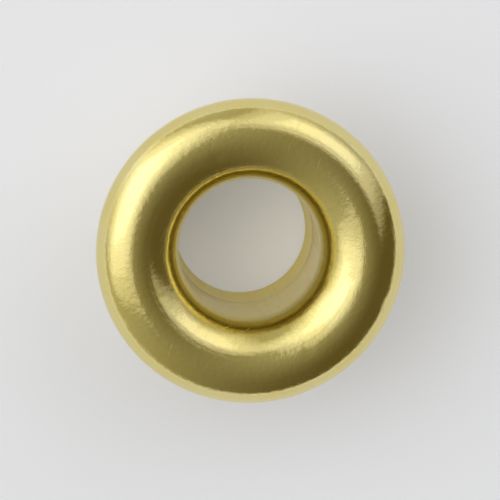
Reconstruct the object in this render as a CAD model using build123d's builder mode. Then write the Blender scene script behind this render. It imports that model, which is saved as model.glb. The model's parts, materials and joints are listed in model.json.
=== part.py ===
from build123d import *
from math import asin, degrees, sqrt
import os

# Brass grommet eyelet: a domed flange and a short barrel, drawn from one sheet.
# The eyelet is one piece, and its wall is as thick everywhere, so its section is
# one line with a thickness: up the bore, out over the throat to the crest, down
# the dome and round the curl to the rim's edge. The origin is on the axis at the
# barrel's end, on which the eyelet stands, and +Z is up the barrel to the
# flange. All sizes are in millimetres, and all angles in degrees.

# Sizes that can be set one by one
sheet = 0.28  # thickness of the brass
flange_diameter = 9.5  # across the outside of the rim
flange_height = 1.0  # from the rim's edge up to the crest
rim_lip = 0.15  # straight part of the rim under its curl
curl_inside_radius = 0.14  # bend of the rim, on the hollow side
crest_share = 0.55  # place of the crest, from the bore's wall (0) to the rim (1)
barrel_diameter = 4.9  # outside, along the straight part
leg_length = 3.7  # barrel that stands out below the rim's edge
lead_length = 0.9  # end of the barrel that rounds in
edge_round = 0.07  # rounding of the cut edges

# Radii and heights that follow from them
flange_radius = flange_diameter / 2
barrel_radius = barrel_diameter / 2
bore_radius = barrel_radius - sheet
crest_radius = bore_radius + crest_share * (flange_radius - bore_radius)
crest_height = leg_length + flange_height

# The throat is a quarter turn, from the upright wall of the bore to the level crest
quarter_turn = 90
throat_radius = crest_radius - bore_radius
throat_foot = crest_height - throat_radius

# Beyond the crest the flange is a flat arch of two arcs, one wide for the dome and
# one tight for the curl. It is level at the crest and upright at the lip, and the
# arcs are tangent where they meet
curl_radius = curl_inside_radius + sheet
rise = flange_height - rim_lip
reach = flange_radius - crest_radius - curl_radius
dome_radius = (rise**2 + reach**2 - curl_radius**2) / (2 * (rise - curl_radius))
dome_angle = degrees(asin(reach / (dome_radius - curl_radius)))
curl_angle = quarter_turn - dome_angle

# The lead rounds in as part of a ball, whose centre is on the axis where the
# straight barrel ends
lead_angle = degrees(asin(lead_length / bore_radius))
end_bore_radius = sqrt(bore_radius**2 - lead_length**2)

with BuildPart() as eyelet:
    with BuildSketch(Plane.XZ):
        with BuildLine():
            # Face side of the sheet, from the barrel's end to the rim's edge
            bore_wall = Line((bore_radius, lead_length), (bore_radius, throat_foot))
            JernArc(bore_wall @ 0, -(bore_wall % 0), bore_radius, -lead_angle)
            throat = JernArc(bore_wall @ 1, bore_wall % 1, throat_radius, -quarter_turn)
            dome = JernArc(throat @ 1, throat % 1, dome_radius, -dome_angle)
            curl = JernArc(dome @ 1, dome % 1, curl_radius, -curl_angle)
            Line(curl @ 1, curl @ 1 - (0, rim_lip))
            offset(amount=sheet, side=Side.RIGHT)
        make_face()
        # The end of the barrel is cut square
        Rectangle(flange_radius, leg_length, align=(Align.MIN, Align.MAX), mode=Mode.SUBTRACT)
    revolve(axis=Axis.Z)
    # The only flat faces are the sheet's two cut edges, at the barrel's end and the rim
    cut_faces = eyelet.faces().filter_by(GeomType.PLANE)
    fillet(cut_faces.edges(), radius=edge_round)

eyelet.part.label = "eyelet"

os.makedirs("parts", exist_ok=True)
export_step(eyelet.part, "parts/eyelet.step")

print("flange", flange_diameter, "wide, crest", 2 * crest_radius, "wide at height", crest_height)
print("dome radius", dome_radius, "over", dome_angle, "degrees, curl radius", curl_radius)
print("bore", 2 * bore_radius, "wide, straight from height", lead_length, "to", throat_foot)
print("opening at the barrel's end", 2 * end_bore_radius, "wide")
print("brass in cubic millimetres", eyelet.part.volume)
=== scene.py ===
# %% [markdown]
# # A brass grommet eyelet
# An eyelet lines a punched hole, so that a cord can't tear it. It is pressed from
# one piece of thin brass sheet: a short barrel, a throat that turns outwards, and a
# domed flange whose rim turns down again. This file dresses the measured model of
# one: first its outline, then the marks that the press and the tumbling drum leave,
# then the brass itself, and last a small studio to look at it in.

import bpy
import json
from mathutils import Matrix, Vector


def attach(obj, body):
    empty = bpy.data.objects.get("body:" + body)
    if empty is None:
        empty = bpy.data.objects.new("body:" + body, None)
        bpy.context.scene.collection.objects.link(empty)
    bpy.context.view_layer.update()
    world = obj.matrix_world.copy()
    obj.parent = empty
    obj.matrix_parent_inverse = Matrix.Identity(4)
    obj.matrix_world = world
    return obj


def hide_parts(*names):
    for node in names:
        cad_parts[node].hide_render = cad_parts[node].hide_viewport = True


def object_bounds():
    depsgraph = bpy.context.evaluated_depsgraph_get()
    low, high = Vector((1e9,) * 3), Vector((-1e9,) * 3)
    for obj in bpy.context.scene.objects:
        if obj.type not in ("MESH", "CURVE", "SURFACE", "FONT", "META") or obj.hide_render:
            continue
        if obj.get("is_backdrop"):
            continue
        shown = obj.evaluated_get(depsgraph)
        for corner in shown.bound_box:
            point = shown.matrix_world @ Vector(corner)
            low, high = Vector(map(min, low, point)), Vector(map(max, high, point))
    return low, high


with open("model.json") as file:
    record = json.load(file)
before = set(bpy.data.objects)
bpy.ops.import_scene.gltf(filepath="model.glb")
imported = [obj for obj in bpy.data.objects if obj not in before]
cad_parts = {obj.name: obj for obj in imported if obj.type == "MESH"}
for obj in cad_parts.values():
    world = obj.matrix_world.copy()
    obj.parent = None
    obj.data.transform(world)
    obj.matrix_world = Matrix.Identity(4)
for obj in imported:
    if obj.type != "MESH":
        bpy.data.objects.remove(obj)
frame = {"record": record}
measured_low, measured_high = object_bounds()
print("measured model:", tuple(measured_low), "to", tuple(measured_high), "metres")

# %% [markdown]
# ## Sizes
# A turned shape needs only a few radii and heights. They could be typed in again,
# but then two files would have to agree, so they're read from the measured model:
# its box, and the places where other things fit it, which are its bore, the outside
# of its barrel and the rim that it seats on. Blender works in metres, so a
# millimetre gets a name of its own, and so does a micron, a thousandth of that,
# which suits marks too shallow to feel.

# %% Read the sizes from the model
mm = 0.001
micron = 0.001 * mm
fits = {mount["name"]: mount for mount in frame["record"]["mounts"]}
bore_radius = fits["bore"]["dims"]["r_mm"] * mm
barrel_radius = fits["barrel"]["dims"]["r_mm"] * mm
straight_length = fits["bore"]["dims"]["length_mm"] * mm
rim_height = fits["rim_seat"]["pos_m"][2]
flange_radius = measured_high.x
crest_height = measured_high.z

lead_length = fits["bore"]["pos_m"][2] - straight_length / 2
throat_foot = lead_length + straight_length
sheet = barrel_radius - bore_radius
print("sheet", round(sheet / mm, 3), "mm, bore", round(2 * bore_radius / mm, 3), "mm wide")

# %% [markdown]
# Nothing fits the smallest bends, so the model doesn't state them: the lip at the
# foot of the rim, the inside of the rim's curl, and the rounding of the cut edges.
# They're given here, each about as tight as sheet this thin bends without cracking.

# %% Name the small bends
rim_lip = 0.15 * mm
curl_inside_radius = 0.14 * mm
edge_round = 0.07 * mm
print("the curl's inside radius is", round(curl_inside_radius / sheet, 2), "of the sheet's thickness")

# %% [markdown]
# ## The outline of the strip
# Cut an eyelet down its axis, and each half of the cut is one bent strip, as thick
# everywhere as the sheet that it came from. It could be modelled from a cylinder
# with loop cuts and subdivision, but the press tool has true arcs and so does this
# outline: the lead that rounds in, the straight barrel, the throat, the dome, the
# tight curl and the lip. The throat's arc ends level at the crest, and the dome and
# the curl share a tangent, which settles the dome's radius.

# %% Work out the arcs
from math import asin, cos, degrees, pi, radians, sin, sqrt

throat_radius = crest_height - throat_foot
crest_radius = bore_radius + throat_radius
curl_radius = curl_inside_radius + sheet
curl_height = rim_height + rim_lip
rise = crest_height - curl_height
reach = flange_radius - crest_radius - curl_radius
dome_radius = (rise**2 + reach**2 - curl_radius**2) / (2 * (rise - curl_radius))
dome_angle = degrees(asin(reach / (dome_radius - curl_radius)))
print("dome radius", round(dome_radius / mm, 3), "mm over", round(dome_angle, 1), "degrees")

# %% [markdown]
# Each place on the outline says how far out and up it is, which way the metal
# faces there, and which side of the sheet it is on. An arc faces away from its
# middle, or towards it where the sheet bends the other way. Its angles go up from
# level, so towards the axis is half a turn. Blender could round a coarse outline
# with a modifier, but then nobody would know where the metal is.

# %% Arcs and straight lines
from collections import namedtuple

Place = namedtuple("Place", "out up face_out face_up side")


def arc(middle, radius, start, end, steps, facing, side):
    """Places along an arc, from one angle to another, in degrees above level."""
    places = []
    for step in range(steps + 1):
        angle = radians(start + (end - start) * step / steps)
        away_out, away_up = cos(angle), sin(angle)
        out, up = middle[0] + radius * away_out, middle[1] + radius * away_up
        places.append(Place(out, up, facing * away_out, facing * away_up, side))
    return places


def upright(out, low, high, steps, facing, side):
    """Places along an upright line, from one height to another."""
    rise_of_step = (high - low) / steps
    return [Place(out, low + rise_of_step * step, facing, 0, side) for step in range(steps + 1)]


level, straight_up, straight_down, towards_axis = 0, 90, -90, 180
quarter = arc((0, 0), mm, level, straight_up, 3, 1, "face")
print("a quarter turn in three steps:", [(round(p.out / mm, 2), round(p.up / mm, 2)) for p in quarter])

# %% [markdown]
# One function draws either side of the sheet. The face is at depth nothing and the
# back is one sheet below it, so every bend keeps its middle and only its radius
# changes. The lead is part of a ball, whose middle is on the axis. Tight bends get
# more rows of points for their length than straight walls do, and the back, which
# is hardly seen, gets fewer.

# %% Draw one side of the sheet
lead_rows, wall_rows, throat_rows, dome_rows, curl_rows, lip_rows = 14, 16, 56, 36, 12, 3
face_fineness, back_fineness = 1, 0.6


def lead_turn(ball_radius, facing):
    """How far down the ball its surface runs before the cut edge's rounding starts."""
    return degrees(asin((lead_length - edge_round) / (ball_radius + facing * edge_round)))


def side_of_sheet(depth, facing, side, fineness):
    """The face or the back, from the barrel's end to the rim's edge."""
    ball_radius = bore_radius + depth
    lead = arc((0, lead_length), ball_radius, -lead_turn(ball_radius, facing), level,
               int(lead_rows * fineness), -facing, side)
    wall = upright(ball_radius, lead_length, throat_foot, int(wall_rows * fineness), -facing, side)
    throat = arc((crest_radius, throat_foot), throat_radius - depth, towards_axis, straight_up,
                 int(throat_rows * fineness), facing, side)
    dome = arc((crest_radius, crest_height - dome_radius), dome_radius - depth, straight_up,
               straight_up - dome_angle, int(dome_rows * fineness), facing, side)
    curl = arc((flange_radius - curl_radius, curl_height), curl_radius - depth,
               straight_up - dome_angle, level, int(curl_rows * fineness), facing, side)
    lip = upright(flange_radius - depth, curl_height, rim_height + edge_round, lip_rows, facing, side)
    return [lead, wall, throat, dome, curl, lip]


face = side_of_sheet(0, 1, "face", face_fineness)
back = side_of_sheet(sheet, -1, "back", back_fineness)
print("the face has", sum(map(len, face)), "places and the back", sum(map(len, back)))

# %% [markdown]
# Sheet metal is sheared, and a sheared edge is never quite sharp, so both cut edges
# get a small rounding at each side. A Bevel modifier could do it, but not this
# exactly. At the rim these are plain quarter turns. At the barrel's end they touch
# the level cut and the ball, and the ball settles how far out their middles are.

# %% Close the outline round the two cut edges
corner_rows = 6
smallest_step = 0.001 * micron


def barrel_corner(ball_radius, facing, start, end):
    """The rounding where the barrel's end meets one side of the sheet."""
    touch = ball_radius + facing * edge_round
    out = sqrt(touch**2 - (lead_length - edge_round) ** 2)
    return arc((out, edge_round), edge_round, start, end, corner_rows, 1, "edge")


def rim_corner(out, start, end):
    """The rounding where the rim's edge meets one side of the sheet."""
    return arc((out, rim_height + edge_round), edge_round, start, end, corner_rows, 1, "edge")


def joined(stretches):
    """One outline, with the place where two stretches meet kept only once."""
    outline = []
    for place in [place for stretch in stretches for place in stretch]:
        last = outline[-1] if outline else None
        if last is None or abs(place.out - last.out) + abs(place.up - last.up) > smallest_step:
            outline.append(place)
    return outline


rim_edge = [rim_corner(flange_radius - edge_round, level, straight_down),
            rim_corner(flange_radius - sheet + edge_round, straight_down, -towards_axis)]
back_downwards = [stretch[::-1] for stretch in back[::-1]]
barrel_end = [barrel_corner(barrel_radius, -1, -lead_turn(barrel_radius, -1), straight_down),
              barrel_corner(bore_radius, 1, straight_down, -towards_axis - lead_turn(bore_radius, 1))]
outline = joined(face + rim_edge + back_downwards + barrel_end)
outline.pop()  # the last place is the first one again
print("closed outline of", len(outline), "places")

# %% [markdown]
# ## Marks of making
# A perfect lathe shape looks like a drawing. A real eyelet is pressed, and then
# tumbled with thousands of others, and both leave marks a few microns deep. They're
# far too shallow to see as shape, but brass this bright is a mirror, so they bend
# every reflection. A bump map could do some of it. They're made in the mesh, because
# a bump map can't change an outline.
# Every mark goes into the metal, never out of it, so the eyelet keeps its size.
#
# In the arrays below a row is a place on the outline and a column is a turn about
# the axis, so one sum works out a mark all over the eyelet.

# %% Lay the outline out round the axis
import numpy as np

turns = 400
full_turn = 2 * pi
out, up, face_out, face_up = (np.array([place[i] for place in outline])[:, None] for i in range(4))
on_face = np.array([place.side == "face" for place in outline])[:, None]
on_edge = np.array([place.side == "edge" for place in outline])[:, None]
turn = np.linspace(0, full_turn, turns, endpoint=False)[None, :]
step_out, step_up = np.diff(out, axis=0, prepend=out[:1]), np.diff(up, axis=0, prepend=up[:1])
along = np.cumsum(np.hypot(step_out, step_up), axis=0)
face_length = float(along[on_face].max())
print("the sheet's face is", round(face_length / mm, 2), "mm long along the outline")

# %% [markdown]
# Springback first: when the punch lets go, a thin flange relaxes into a very slight
# wave of two, three and five lobes. It grows from nothing at the barrel to its
# full depth at the rim.

# %% Springback of the flange
rng = np.random.default_rng(26)
springback_depth = 9 * micron
shares_of_lobes = {2: 0.5, 3: 0.3, 5: 0.2}
flange_share = np.clip((out - barrel_radius) / (flange_radius - barrel_radius), 0, 1)
wave = np.zeros_like(turn)
for lobes, share in shares_of_lobes.items():
    wave += share * (0.5 + 0.5 * np.cos(lobes * turn + rng.uniform(0, full_turn)))
springback = springback_depth * flange_share * wave
print("the rim springs back by up to", round(float(springback.max()) / micron, 1), "microns")

# %% [markdown]
# Then the forming rings: the die's turning marks and the edge of the punch print
# themselves on the face as faint rings about the axis. Each ring is a shallow
# groove with its own middle, width and depth, and it fades round the eyelet where
# the press was a little off square.

# %% Forming rings on the face
ring_count = 16
last_row_of_wall = len(face[0]) + len(face[1]) - 2  # the lead and the wall share a row
throat_start = float(along[last_row_of_wall, 0])
rings = np.zeros((len(outline), turns))
for ring in range(ring_count):
    middle = rng.uniform(throat_start, face_length)
    width = rng.uniform(0.06, 0.14) * mm
    depth = width * rng.uniform(0.008, 0.03)
    strength = 0.6 + 0.4 * np.cos(turn - rng.uniform(0, full_turn))
    rings += on_face * depth * np.exp(-(((along - middle) / width) ** 2)) * strength
print(ring_count, "rings, the deepest", round(float(rings.max()) / micron, 2), "microns")

# %% [markdown]
# Next the tumbling dents: soft shallow dimples where other eyelets knocked against
# this one. They're only on the flange, which shields the barrel. A dent is round in
# space, not along the rows and columns, so how deep it is at a point depends on the
# straight distance from its middle.

# %% Tumbling dents on the flange
dent_count = 46
across, over = out * np.cos(turn), out * np.sin(turn)
dents = np.zeros((len(outline), turns))
flange_rows = np.flatnonzero((out[:, 0] > barrel_radius + sheet) & ~on_edge[:, 0])
for dent in range(dent_count):
    row, column = rng.choice(flange_rows), rng.integers(turns)
    size = rng.uniform(0.07, 0.2) * mm
    depth = size * rng.uniform(0.012, 0.045)
    distance_squared = ((across - across[row, column]) ** 2 + (over - over[row, column]) ** 2
                        + (up - up[row, 0]) ** 2)
    dents += depth * np.exp(-distance_squared / size**2)
print(dent_count, "dents, the deepest", round(float(dents.max()) / micron, 2), "microns")

# %% [markdown]
# Last the drawing lines: the barrel was squeezed between a punch and a ring, and
# grit and tool marks scored it lengthwise, on both sides of the sheet. The lines
# fade out in the throat and before the cut edge.

# %% Drawing lines along the barrel
line_count = 70
throat_fade = 0.3 * mm
wall_share = (np.clip(1 - (out - barrel_radius) / throat_fade, 0, 1)
              * np.clip(up / lead_length, 0, 1))
lines = np.zeros((len(outline), turns))
for line in range(line_count):
    scored_side = on_face if rng.random() < 0.5 else ~on_face
    middle = rng.uniform(0, full_turn)
    width = rng.uniform(0.06, 0.14) * mm
    depth = width * rng.uniform(0.01, 0.035)
    turn_from_middle = (turn - middle + pi) % full_turn - pi
    distance = turn_from_middle * barrel_radius
    lines += scored_side * wall_share * depth * np.exp(-((distance / width) ** 2))
print(line_count, "lines, the deepest", round(float(lines.max()) / micron, 2), "microns")

# %% [markdown]
# ## The mesh
# The Screw modifier would spin an outline in one step, but it can't add the marks.
# Here each place on the outline is moved into the metal by its marks, turned to
# every angle, and joined to its neighbours by four-sided faces, so the result is
# the tidy grid that a lathe would give.

# %% Turn the outline into a mesh
import bpy

depth_of_marks = springback + rings + dents + lines
marked_out = out - face_out * depth_of_marks
marked_up = up - face_up * depth_of_marks
points = np.stack([marked_out * np.cos(turn), marked_out * np.sin(turn), marked_up], axis=2)
rows, columns = len(outline), turns
quads = []
for row in range(rows):
    next_row = (row + 1) % rows
    for column in range(columns):
        next_column = (column + 1) % columns
        quads.append((row * columns + column, row * columns + next_column,
                      next_row * columns + next_column, next_row * columns + column))
mesh = bpy.data.meshes.new("pressed_eyelet")
mesh.from_pydata(points.reshape(-1, 3).tolist(), [], quads)
mesh.validate()
mesh.shade_smooth()
eyelet = bpy.data.objects.new("pressed_eyelet", mesh)
bpy.context.scene.collection.objects.link(eyelet)
print("mesh of", len(mesh.vertices), "points and", len(mesh.polygons), "faces")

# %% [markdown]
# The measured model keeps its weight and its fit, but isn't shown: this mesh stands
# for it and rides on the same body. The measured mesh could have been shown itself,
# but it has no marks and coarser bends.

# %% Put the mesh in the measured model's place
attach(eyelet, "root")
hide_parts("eyelet")
print(eyelet.name, "stands for the measured eyelet")

# %% [markdown]
# ## A small kit for finishes
# Node trees are hard to read as code, because a sum takes three lines. So a wire,
# which is one output of a node, learns arithmetic here: writing 1 - wire adds the
# Math node that works it out. The forms with an r before their name are for a plain
# number on the left.

# %% Wires
class Wire:
    """An output of a node. Arithmetic on it adds Math nodes to the same finish."""

    def __init__(self, finish, socket):
        self.finish = finish
        self.socket = socket

    def maths(self, operation, first, second):
        settings = {"operation": operation}
        return self.finish.node("Math", settings, {"Value": first, "Value_001": second})

    def __add__(self, other):
        return self.maths("ADD", self, other)

    def __radd__(self, other):
        return self.maths("ADD", other, self)

    def __sub__(self, other):
        return self.maths("SUBTRACT", self, other)

    def __rsub__(self, other):
        return self.maths("SUBTRACT", other, self)

    def __mul__(self, other):
        return self.maths("MULTIPLY", self, other)

    def __rmul__(self, other):
        return self.maths("MULTIPLY", other, self)

    def __truediv__(self, other):
        return self.maths("DIVIDE", self, other)

    def __rtruediv__(self, other):
        return self.maths("DIVIDE", other, self)

    def __pow__(self, other):
        return self.maths("POWER", self, other)

    def __rpow__(self, other):
        return self.maths("POWER", other, self)


print("a wire adds, subtracts, multiplies, divides and raises to a power")

# %% [markdown]
# Every other node comes from one method, which takes the node's type, its settings,
# and a value or a wire for each of its sockets. The nodes that a finish needs most
# get a short name of their own. Colours go through a Mix node, because a Math node
# would turn them grey.

# %% Finishes
class Finish:
    """The node tree of a material or a world, which starts empty."""

    def __init__(self, owner):
        owner.use_nodes = True
        self.owner = owner
        self.tree = owner.node_tree
        self.tree.nodes.clear()

    def node(self, kind, settings, sockets, output=0):
        """Adds a node: first its settings, then a value or a wire for each socket."""
        made = self.tree.nodes.new("ShaderNode" + kind)
        for name, value in settings.items():
            setattr(made, name, value)
        inputs = {socket.identifier: socket for socket in made.inputs}
        for name, value in sockets.items():
            if isinstance(value, Wire):
                self.tree.links.new(value.socket, inputs[name])
            else:
                inputs[name].default_value = value
        return Wire(self, made.outputs[output]) if made.outputs else made

    def noise(self, vector, scale, detail, roughness):
        """Smooth noise between nothing and one."""
        values = {"Vector": vector, "Scale": scale, "Detail": detail, "Roughness": roughness}
        return self.node("TexNoise", {}, values)

    def fade(self, value, start, end):
        """Nothing at the start, one at the end, and a soft ramp between them."""
        settings = {"interpolation_type": "SMOOTHSTEP"}
        return self.node("MapRange", settings, {"Value": value, "From Min": start, "From Max": end})

    def blend(self, share, first, second):
        """A colour between two others."""
        sockets = {"Factor_Float": share, "A_Color": first, "B_Color": second}
        return self.node("Mix", {"data_type": "RGBA"}, sockets, "Result")

    def bump(self, height, depth, below):
        """Relief as fine as a scratch, laid over the relief below it."""
        sockets = {"Height": height, "Distance": depth}
        if below:
            sockets["Normal"] = below
        return self.node("Bump", {}, sockets)

    def show(self, shader):
        """Ends the tree at its output."""
        kind = "OutputWorld" if isinstance(self.owner, bpy.types.World) else "OutputMaterial"
        self.node(kind, {}, {"Surface": shader})


brass = Finish(bpy.data.materials.new("bright_brass"))
print("an empty finish:", brass.owner.name)

# %% [markdown]
# ## Brass
# Where on the eyelet a mark lies depends on how far it is from the axis and how
# high it is, so the finish starts from the place on the object, in millimetres.
# Pictures wrapped round the shape could carry the marks, but they'd blur up close.

# %% Find the place on the eyelet
place = brass.node("TexCoord", {}, {}, "Object")
place_in_mm = brass.node("VectorMath", {"operation": "SCALE"}, {"Vector": place, "Scale": 1 / mm})
x, y, z = (brass.node("SeparateXYZ", {}, {"Vector": place_in_mm}, axis) for axis in "XYZ")
radius = (x * x + y * y) ** 0.5
print("the place on the eyelet takes", len(brass.tree.nodes), "nodes")

# %% [markdown]
# Two masks say where the finish changes. The walls of the barrel were drawn, and
# the flange was pressed. The two cut edges were sheared, and are the only places
# where torn metal shows. Painting them by hand would work, but a mask made from
# radius and height stays right when a size changes. A finish works in millimetres,
# so its sizes are plain numbers of them.

# %% Masks for the walls and the cut edges
wall_from, wall_fade = barrel_radius / mm + 0.1, 0.6
rim_from, rim_fade = flange_radius / mm - 0.4, 0.05
torn_height, torn_fade = 0.02, 0.04
torn_rim_top = rim_height / mm + torn_height

on_wall = 1 - brass.fade(radius, wall_from, wall_from + wall_fade)
at_barrel_end = 1 - brass.fade(z, torn_height, torn_height + torn_fade)
at_rim = brass.fade(radius, rim_from, rim_from + rim_fade)
at_rim_edge = at_rim * (1 - brass.fade(z, torn_rim_top, torn_rim_top + torn_fade))
cut_edge = at_barrel_end + at_rim_edge
print("masks change from radius", round(wall_from, 2), "and", round(rim_from, 2), "mm")

# %% [markdown]
# The fine lines run two ways. On the flange they go round the axis, as the die was
# turned, and on the walls they run lengthwise, as the barrel was drawn. Noise that
# is read by radius and height alone makes the first, and noise that is read by
# direction and hardly by height makes the second. A slow sway keeps the round ones
# from closing into perfect circles.

# %% Fine lines of the tools
sway_width = 0.15
stretch_along_wall = 0.012
round_lines_per_mm = 11
lengthwise_lines_per_radian = 34
shear_marks_per_radian = 60

sway = brass.noise(place_in_mm, 0.35, 1, 0.5)
by_radius_and_height = brass.node("CombineXYZ", {}, {"X": radius, "Y": z, "Z": sway * sway_width})
by_direction = brass.node(
    "CombineXYZ", {}, {"X": x / radius, "Y": y / radius, "Z": z * stretch_along_wall})
by_direction_alone = brass.node("CombineXYZ", {}, {"X": x / radius, "Y": y / radius})
round_lines = brass.noise(by_radius_and_height, round_lines_per_mm, 5, 0.65)
lengthwise_lines = brass.noise(by_direction, lengthwise_lines_per_radian, 4, 0.6)
shear_marks = brass.noise(by_direction_alone, shear_marks_per_radian, 3, 0.7)
lengthwise_gap = barrel_radius / mm / lengthwise_lines_per_radian
print("round lines are about", round(1 / round_lines_per_mm, 2), "mm apart")
print("lengthwise ones are about", round(lengthwise_gap, 2), "mm apart")

# %% [markdown]
# Sheet that is stretched over a die also comes out slightly pebbled, because its
# crystals stretch unevenly, which a press worker calls orange peel. It could be
# sculpted, but plain noise is as uneven as the real thing: a coarse one with pebbles
# a sixth of a millimetre across, and a finer one over it.

# %% Orange peel
pebbles_per_mm, fine_pebbles_per_mm = 6, 19
orange_peel = brass.noise(place_in_mm, pebbles_per_mm, 3, 0.55)
fine_peel = brass.noise(place_in_mm, fine_pebbles_per_mm, 2, 0.5)
pebble_sizes = [round(1 / per_mm, 2) for per_mm in (pebbles_per_mm, fine_pebbles_per_mm)]
print("pebbles about", pebble_sizes[0], "and", pebble_sizes[1], "mm across")

# %% [markdown]
# The drum adds hair-thin scratches in every direction. A scratch is noise that is
# squeezed hard along one axis, so that it turns into long thin sheets, and only its
# highest part is kept. Where the sheets cut the surface, they show as lines. Three
# sets, each turned another way, are enough for the eye to see no pattern.

# %% Scratches from the tumbling drum
squeeze = (16, 0.9, 0.9)
lowest_kept, whole = 0.66, 0.76
turns_of_sets = ((0.3, 0.2, 0.4), (1.1, -0.4, 1.9), (-0.7, 0.9, 2.8))
scratches = 0
for turn_of_set in turns_of_sets:
    turned = brass.node("VectorRotate", {"rotation_type": "EULER_XYZ"},
                        {"Vector": place_in_mm, "Rotation": turn_of_set})
    squeezed = brass.node("VectorMath", {"operation": "MULTIPLY"},
                          {"Vector": turned, "Vector_001": squeeze})
    scratches = scratches + brass.fade(brass.noise(squeezed, 1, 2, 0.6), lowest_kept, whole)
print(len(turns_of_sets), "sets of scratches, and", len(brass.tree.nodes), "nodes so far")

# %% [markdown]
# The colour is a pale greenish yellow. It turns a little warmer in soft patches,
# where the lacquer lies thicker, and browner in streaks down the drawn walls, where
# a trace of drawing soap stayed. The cut edges are pinker, because they're bare and
# torn rather than rolled. One flat colour would look like paint.

# %% Colour
pale_brass = (0.775, 0.67, 0.27, 1)
warm_brass = (0.76, 0.64, 0.22, 1)
drawn_brass = (0.64, 0.51, 0.165, 1)
torn_brass = (0.62, 0.42, 0.22, 1)
patches = brass.fade(brass.noise(place_in_mm, 0.5, 3, 0.5), 0.35, 0.7)
streaks = 0.35 * on_wall * brass.fade(lengthwise_lines, 0.45, 0.75)
rolled = brass.blend(patches, pale_brass, warm_brass)
colour = brass.blend(cut_edge, brass.blend(streaks, rolled, drawn_brass), torn_brass)
print("pale brass mirrors", pale_brass[0], "of red light and", pale_brass[2], "of blue")

# %% [markdown]
# Rolled and drawn brass is nearly a mirror. Its lines spread the light a little
# more, so roughness follows them, and the torn edges are much rougher. The same
# lines also tilt the surface, which a chain of Bump nodes works out, each laid over
# the last.

# %% Gloss and relief
polish = 0.06
roughness = (polish + 0.09 * round_lines + 0.10 * on_wall * lengthwise_lines
             + 0.05 * orange_peel + 0.10 * scratches + 0.22 * cut_edge)
reliefs = ((orange_peel, 6 * micron),
           (fine_peel, 1.2 * micron),
           (round_lines * (1 - on_wall), 3 * micron),
           (lengthwise_lines * on_wall, 4 * micron),
           (1 - scratches, 1 * micron),
           (shear_marks * cut_edge, 12 * micron))
relief = None
for marks, depth in reliefs:
    relief = brass.bump(marks, depth, relief)
deepest = max(depth for marks, depth in reliefs)
print(len(reliefs), "reliefs, the deepest", round(deepest / micron), "microns")

# %% [markdown]
# The Principled shader is metal under a thin clear coat, which is just what a
# lacquered eyelet is. The coat adds a small sharp reflection that isn't yellow, so
# the brightest places look paler than the brass. It lies thick on the flange and
# thin on the barrel, and it hardly holds on torn edges. Any metal mirrors more, and
# paler, where it's seen at a slant, and the specular tint keeps that mirror brassy.

# %% The lacquered metal
lacquer = (0.9 - 0.7 * on_wall) * (1 - 0.9 * cut_edge)
metal = brass.node("BsdfPrincipled", {}, {
    "Base Color": colour,
    "Metallic": 1,
    "Roughness": roughness,
    "Specular Tint": (0.93, 0.88, 0.72, 1),
    "Coat Weight": lacquer,
    "Coat Roughness": 0.06,
    "Coat IOR": 1.5,
    "Normal": relief,
})
brass.show(metal)
mesh.materials.append(brass.owner)
print("bright brass has", len(brass.tree.nodes), "nodes")

# %% [markdown]
# ## The studio
# Bright metal shows what stands round it more than itself, so the room is chosen as
# carefully as the brass. A white tent on all sides would make it look flat. Here it
# stands on a pale floor that runs on into a pale sweep, and the walls are lit on
# the window's side and dim on the other, so that every bend picks up both.

# %% A pale floor
floor_size = 1.2
half = floor_size / 2
floor_mesh = bpy.data.meshes.new("floor")
floor_mesh.from_pydata([(-half, -half, 0), (half, -half, 0), (half, half, 0), (-half, half, 0)],
                       [], [(0, 1, 2, 3)])
floor = bpy.data.objects.new("floor", floor_mesh)
bpy.context.scene.collection.objects.link(floor)
floor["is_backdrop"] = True
print("floor", floor_size, "metres across")

# %% [markdown]
# The floor is white paper, a little cool, because bleached paper has a dye in it
# that glows bluish. Under a light that suits the brass it would come out light grey,
# and more light would wash out the brass. So its glow does some of the work, but
# only for rays from the camera and for those that metal mirrors or glass lets
# through, which a Mix Shader picks out. It lights nothing, and the shadow stays.

# %% White paper
fibres_per_metre = 4000
paper = Finish(bpy.data.materials.new("white_paper"))
paper_grain = paper.noise(paper.node("TexCoord", {}, {}, "Object"), fibres_per_metre, 3, 0.5)
lit_paper = paper.node("BsdfPrincipled", {}, {
    "Base Color": (0.86, 0.87, 0.91, 1),
    "Roughness": 0.8 + 0.1 * paper_grain,
})
glow = paper.node("Emission", {}, {"Color": (0.80, 0.85, 1.0, 1), "Strength": 0.20})
glowing_paper = paper.node("AddShader", {}, {"Shader": lit_paper, "Shader_001": glow})
seen = (paper.node("LightPath", {}, {}, "Is Camera Ray")
        + paper.node("LightPath", {}, {}, "Is Glossy Ray")
        + paper.node("LightPath", {}, {}, "Is Transmission Ray"))
paper.show(paper.node("MixShader", {}, {"Fac": seen, "Shader": lit_paper, "Shader_001": glowing_paper}))
floor_mesh.materials.append(paper.owner)
print("white paper has", len(paper.tree.nodes), "nodes")

# %% [markdown]
# The room itself is the world's background, a colour for each direction. A panorama
# picture could do this, but three colours are enough: a wall lit by the window, a
# dim brown one across from it, which gives the shadows in the brass their depth of
# colour, and the sweep just above the horizon.

# %% The room round it
room = Finish(bpy.data.worlds.new("room"))
bpy.context.scene.world = room.owner
direction = room.node("TexCoord", {}, {}, "Generated")
height = room.node("SeparateXYZ", {}, {"Vector": direction}, "Z")
window_turn = radians(155)
window_side = (cos(window_turn), sin(window_turn), 0)
wholly_dim, wholly_lit = -0.8, 0.7
sweep_foot, sweep_top = 0.04, 0.10
dim_wall = (0.13, 0.105, 0.045, 1)
lit_wall = (0.52, 0.50, 0.37, 1)
pale_sweep = (0.98, 0.98, 0.98, 1)

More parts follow.
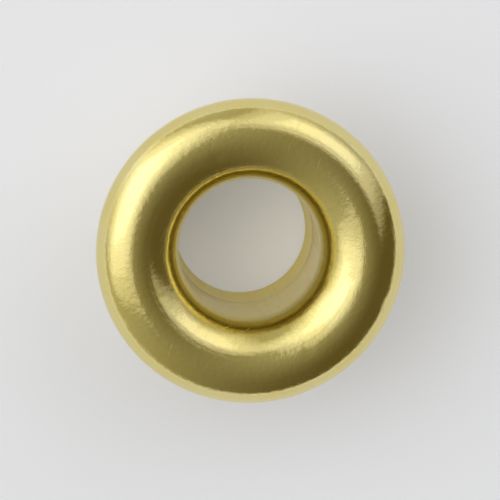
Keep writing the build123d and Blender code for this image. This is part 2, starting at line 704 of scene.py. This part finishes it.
towards_window = room.node("VectorMath", {"operation": "DOT_PRODUCT"},
                           {"Vector": direction, "Vector_001": window_side}, "Value")
walls = room.blend(room.fade(towards_window, wholly_dim, wholly_lit), dim_wall, lit_wall)
surroundings = room.blend(room.fade(height, sweep_top, sweep_foot), walls, pale_sweep)
room.show(room.node("Background", {}, {"Color": surroundings, "Strength": 1}))
print("the lit wall is", round(lit_wall[0] / dim_wall[0], 1), "times as bright as the dim one")

# %% [markdown]
# Two soft boxes light it. The main one is up on the left and gives the long
# highlight on the dome, with its twin across the throat, and it is rolled a little,
# so that one corner draws that highlight on round the dome. A weaker one behind
# carries both on round the top. One area lamp would mirror as a flat patch with a
# hard border, but a real soft box fades from its middle outwards. So each is three
# lamps, one in front of another and each smaller than the last, and their light
# adds up. It is daylight, a little bluer than what the walls send back, so the
# highlights look creamy and the shadows golden. A lamp's power is worked out from
# how bright it looks beside white paper.

# %% Two soft boxes
from mathutils import Matrix, Quaternion, Vector

daylight = (0.87, 0.885, 1.0)
box_distance = 0.60
layer_gap = 0.01
layers = ((1.0, 0.28), (0.7, 0.27), (0.4, 0.45))


def towards(turn_degrees, lean_degrees):
    """The direction at a turn from the X axis and a lean from upright."""
    heading, lean = radians(turn_degrees), radians(lean_degrees)
    return Vector((sin(lean) * cos(heading), sin(lean) * sin(heading), cos(lean)))


def soft_box(name, brightness, across, high, away, roll_degrees):
    """A soft box as bright in its middle as this many white papers, which faces the eyelet."""
    aim = away.to_track_quat("Z", "Y") @ Quaternion((0, 0, 1), radians(roll_degrees))
    for layer, (share_of_size, share_of_light) in enumerate(layers):
        lamp = bpy.data.lights.new(f"{name}_{layer}", "AREA")
        lamp.shape = "RECTANGLE"
        lamp.color = daylight
        lamp.size, lamp.size_y = across * share_of_size, high * share_of_size
        lamp.energy = brightness * share_of_light * pi * lamp.size * lamp.size_y
        holder = bpy.data.objects.new(lamp.name, lamp)
        holder.location = away * (box_distance - layer * layer_gap)
        holder.rotation_euler = aim.to_euler()
        bpy.context.scene.collection.objects.link(holder)
        print(lamp.name, round(lamp.energy, 2), "watts")


soft_box("main_box", brightness=1.52, across=1.08, high=0.92, away=towards(158, 47), roll_degrees=25)
soft_box("far_box", brightness=1.18, across=0.90, high=0.70, away=towards(47, 54), roll_degrees=0)

# %% [markdown]
# ## The camera
# It looks almost straight down, from about where a person would hold the eyelet,
# through a long lens. It leans twelve degrees, so that the bore's wall shows on one
# side. A wider lens from nearby would show more of the wall, but it would also make
# the flange look deeper than it is.

# %% Place the camera
camera_distance = 0.446
share_of_width = 0.62
towards_camera = towards(114, 11.7)
top_of_picture = Vector((0, 1, 0))

camera_data = bpy.data.cameras.new("camera")
frame_width = 2 * flange_radius / share_of_width
camera_data.lens = camera_data.sensor_width * camera_distance / frame_width
camera = bpy.data.objects.new("camera", camera_data)
camera.location = Vector((0, 0, rim_height)) + camera_distance * towards_camera
right = top_of_picture.cross(towards_camera).normalized()
upward = towards_camera.cross(right)
camera.rotation_mode = "QUATERNION"
camera.rotation_quaternion = Matrix((right, upward, towards_camera)).transposed().to_quaternion()
camera_data.clip_start, camera_data.clip_end = 0.01, 10
bpy.context.scene.collection.objects.link(camera)
bpy.context.scene.camera = camera
bpy.context.scene.view_settings.view_transform = "Standard"
print("lens", round(camera_data.lens), "mm")

# %% [markdown]
# ## Last checks
# The dressed model must be as large as the measured one, so both boxes are printed, with how far they
# differ.

# %% Print both boxes
import json

shown_low, shown_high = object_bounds()
change = max(map(abs, (*(shown_low - measured_low), *(shown_high - measured_high))))
print("shown model:", tuple(shown_low), "to", tuple(shown_high), "metres")
print("its box differs from the measured one by at most", round(change / micron, 1), "microns")
